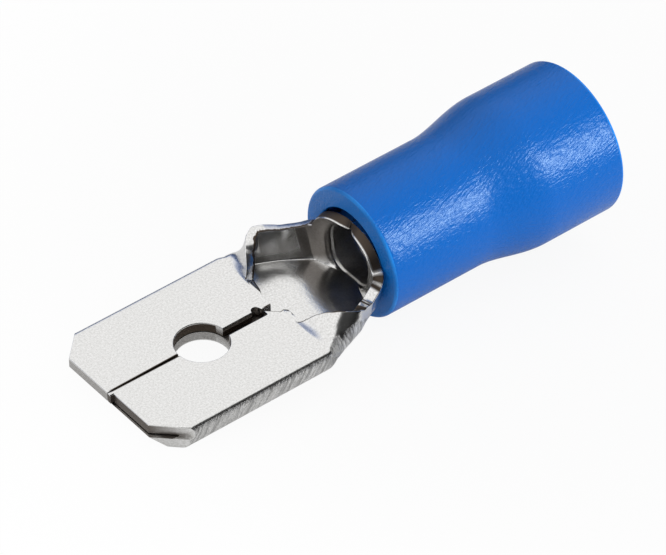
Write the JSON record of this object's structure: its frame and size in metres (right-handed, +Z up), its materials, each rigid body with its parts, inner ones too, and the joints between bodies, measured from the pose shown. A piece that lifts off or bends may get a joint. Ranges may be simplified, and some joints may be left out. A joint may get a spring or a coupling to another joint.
{
  "type": "insulated male tab terminal",
  "caption": "Insulated male tab crimp terminal: folded flat tab with a locking hole, rolled wire barrel and a blue moulded sleeve with a flared wire entry.",
  "frame": {"origin": "centre of the sleeve's wire entry, on the axis of the wire barrel", "axes": "+X along the wire barrel towards the tab's tip, +Z up, square to the tab, on the side that the flaps are folded to, +Y across the tab"},
  "size_m": [0.0203, 0.0064, 0.0058],
  "materials": {
    "tin_plated_brass": "bright tin plate over brass, lightly brushed by the stamping and folding tools",
    "blue_sleeve": "satin moulded vinyl with a fine grain"
  },
  "bodies": {
    "root": {"tab_terminal": "tin_plated_brass", "insulating_sleeve": "blue_sleeve"}
  },
  "joints": []
}
